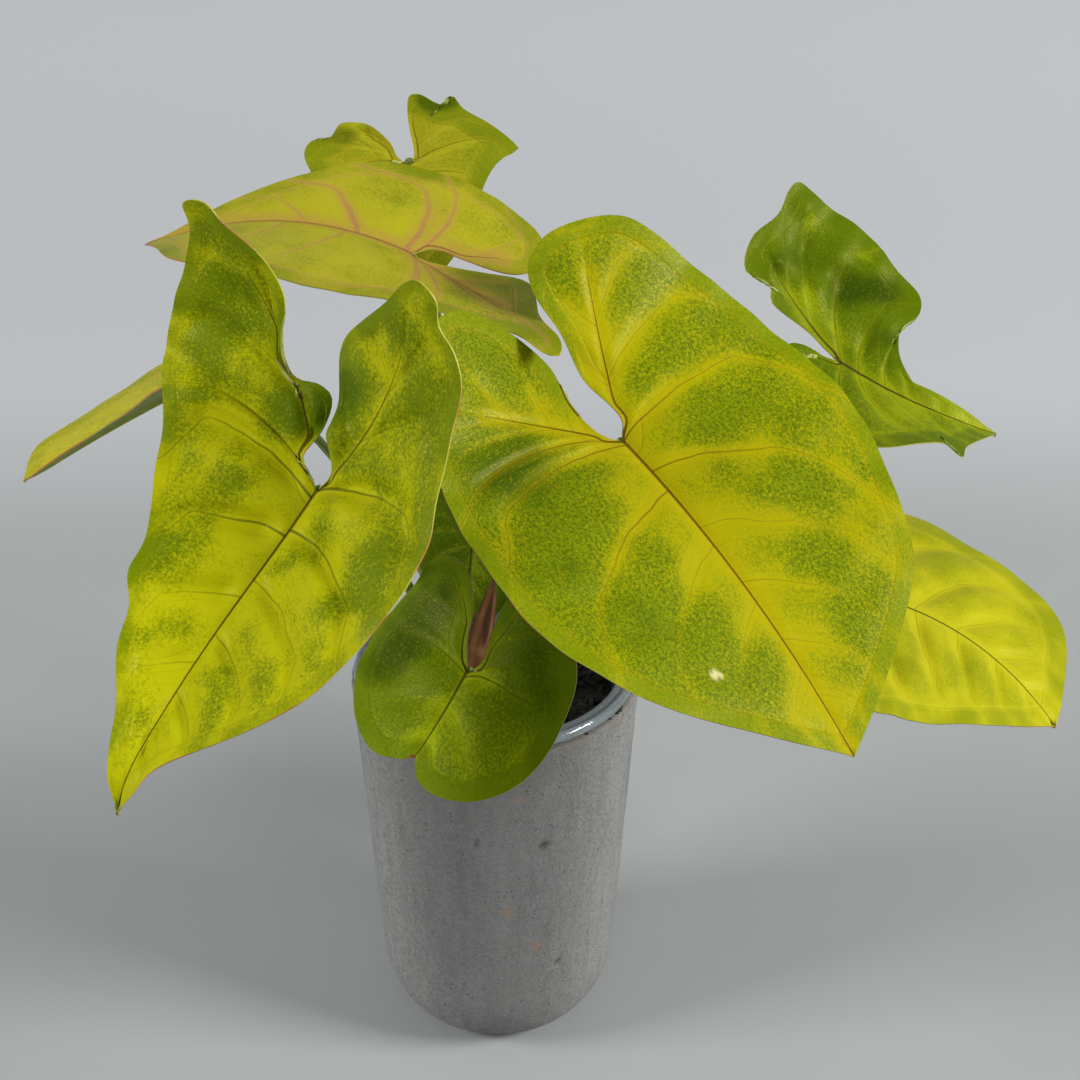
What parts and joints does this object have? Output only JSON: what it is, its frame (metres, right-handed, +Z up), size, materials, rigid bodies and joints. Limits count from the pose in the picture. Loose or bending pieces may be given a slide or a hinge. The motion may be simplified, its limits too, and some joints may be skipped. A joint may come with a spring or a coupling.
{
  "type": "arrowhead plant",
  "caption": "Arrowhead plant with arrow-shaped yellow-green leaves on slender stalks, growing in a clear plastic pot set in a small tapered cement pot.",
  "frame": {"origin": "centre of the cement pot's flat foot, on the surface it stands on", "axes": "+Z up, -Y towards the side with the two largest leaves, +X to the right seen from there"},
  "size_m": [0.2894, 0.1946, 0.2679],
  "materials": {
    "cement": "rough grey cement with fine speckle and small pits",
    "clear_plastic": "clear glossy thin plastic",
    "soil": "dark crumbly potting soil",
    "stem": "smooth green stem",
    "stalk": "smooth yellow-green stalk",
    "blade_mottled": "satin leaf, yellow and green mottle with brown-red veins",
    "blade_yellow": "satin yellow leaf with pink veins",
    "blade_green": "satin green leaf",
    "blade_dull": "dull yellow-green leaf",
    "dry_sheath": "dry brown fibrous sheath"
  },
  "bodies": {
    "root": {"cement_pot": "cement", "plastic_pot": "clear_plastic", "potting_soil": "soil", "stem_front": "stem", "stem_right": "stem", "stem_back": "stem", "dry_sheath": "dry_sheath", "blade_front_right": "blade_mottled", "stalk_front_right": "stalk", "blade_front_left": "blade_mottled", "stalk_front_left": "stalk", "blade_top": "blade_yellow", "stalk_top": "stalk", "blade_top_back": "blade_dull", "stalk_top_back": "stalk", "blade_back_right": "blade_green", "stalk_back_right": "stalk", "blade_low_right": "blade_yellow", "stalk_low_right": "stalk", "blade_far_left": "blade_dull", "stalk_far_left": "stalk", "blade_low_front": "blade_green", "stalk_low_front": "stalk", "blade_middle": "blade_green", "stalk_middle": "stalk"}
  },
  "joints": []
}
